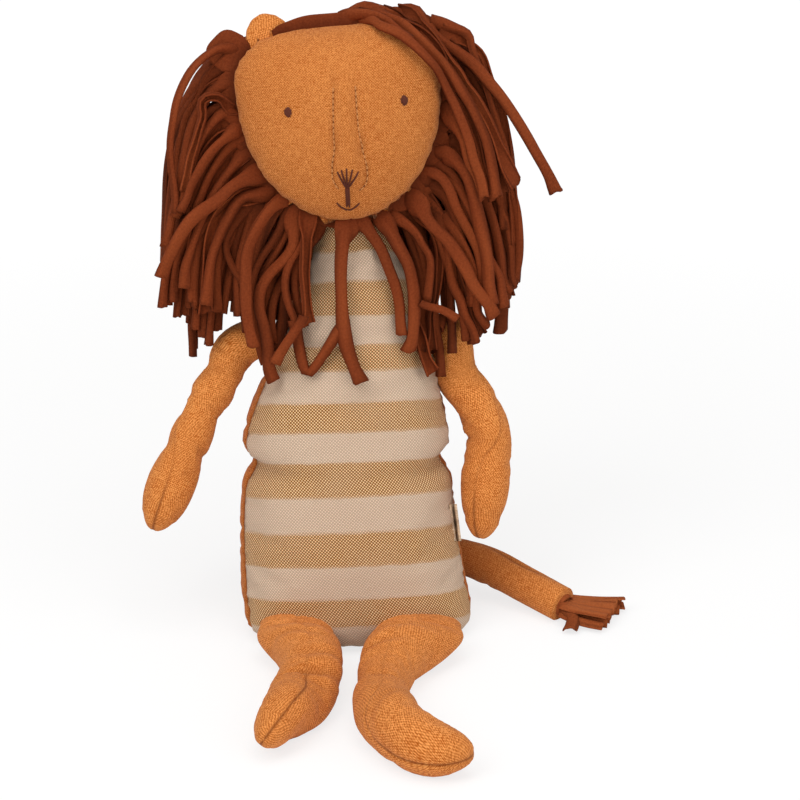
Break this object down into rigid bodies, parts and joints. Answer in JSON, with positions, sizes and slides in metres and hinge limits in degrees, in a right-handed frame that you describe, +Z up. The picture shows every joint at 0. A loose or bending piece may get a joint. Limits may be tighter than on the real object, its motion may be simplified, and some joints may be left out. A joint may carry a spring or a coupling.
{
  "type": "plush lion",
  "caption": "Seated cloth lion with a flat padded head, striped woven belly, soft arms and legs, a curved tail and a mane of curled jersey strips.",
  "frame": {"origin": "on the floor, on the flat underside of the body that the lion sits on", "axes": "+Z up, -Y the way the lion looks, +X its left side, where the tail lies"},
  "size_m": [0.2109, 0.212, 0.2625],
  "materials": {
    "striped_weave": "matte plain weave of cream warp, woven in mustard and natural bands",
    "ochre_linen": "matte slubby linen in ochre",
    "back_linen": "matte slubby linen in a deeper ochre",
    "filling": "white hollow-fibre filling",
    "mane_jersey": "matte cotton jersey in rust brown, its cut edges curled",
    "embroidery_thread": "satin stranded thread in dark brown",
    "cotton_tape": "woven cotton tape, left bare"
  },
  "bodies": {
    "torso": {"body_front_panel": "striped_weave", "body_back_panel": "back_linen", "body_filling": "filling", "side_label": "cotton_tape"},
    "head": {"face_panel": "ochre_linen", "head_back_panel": "back_linen", "head_filling": "filling", "ear_right": "ochre_linen", "ear_left": "ochre_linen", "eye_right": "embroidery_thread", "eye_left": "embroidery_thread", "nose_embroidery": "embroidery_thread", "mouth_embroidery": "embroidery_thread", "mane_nape_right": "mane_jersey", "mane_nape_left": "mane_jersey", "mane_chin": "mane_jersey", "mane_lower_right": "mane_jersey", "mane_lower_left": "mane_jersey", "mane_side_right": "mane_jersey", "mane_side_left": "mane_jersey", "mane_crown": "mane_jersey", "mane_top_right": "mane_jersey", "mane_top_left": "mane_jersey"},
    "arm_right": {"arm_right_outer_panel": "ochre_linen", "arm_right_inner_panel": "ochre_linen", "arm_right_filling": "filling"},
    "arm_left": {"arm_left_inner_panel": "ochre_linen", "arm_left_outer_panel": "ochre_linen", "arm_left_filling": "filling"},
    "leg_right": {"leg_right_outer_panel": "ochre_linen", "leg_right_inner_panel": "ochre_linen", "leg_right_filling": "filling"},
    "leg_left": {"leg_left_inner_panel": "ochre_linen", "leg_left_outer_panel": "ochre_linen", "leg_left_filling": "filling"},
    "tail": {"tail_tube": "ochre_linen", "tail_filling": "filling", "tail_tuft": "mane_jersey"}
  },
  "joints": [
    {"name": "head_nod", "type": "hinge", "parent": "torso", "child": "head", "pos_m": [-0.001, 0.019, 0.166], "axis": [1, 0, 0], "range_deg": [-20, 20], "deforming": ["mane_nape_right", "mane_nape_left", "mane_chin", "mane_lower_right", "mane_lower_left", "mane_side_right", "mane_side_left", "mane_crown", "mane_top_right", "mane_top_left"]},
    {"name": "arm_right_swing", "type": "hinge", "parent": "torso", "child": "arm_right", "pos_m": [-0.04301, 0.01107, 0.124], "axis": [1, 0, 0], "range_deg": [-100, 35]},
    {"name": "arm_left_swing", "type": "hinge", "parent": "torso", "child": "arm_left", "pos_m": [0.0403, 0.0169, 0.124], "axis": [1, 0, 0], "range_deg": [-100, 35]},
    {"name": "leg_right_swing", "type": "hinge", "parent": "torso", "child": "leg_right", "pos_m": [-0.0248, -0.04556, 0.0082], "axis": [0.9903, -0.1392, 0], "range_deg": [-65, 75]},
    {"name": "leg_left_swing", "type": "hinge", "parent": "torso", "child": "leg_left", "pos_m": [0.02608, -0.04488, 0.0082], "axis": [1, 0, 0], "range_deg": [-65, 75]},
    {"name": "tail_swing", "type": "hinge", "parent": "torso", "child": "tail", "pos_m": [0.002, 0.03144, 0.015], "axis": [0, 0, 1], "range_deg": [0, 140]}
  ]
}
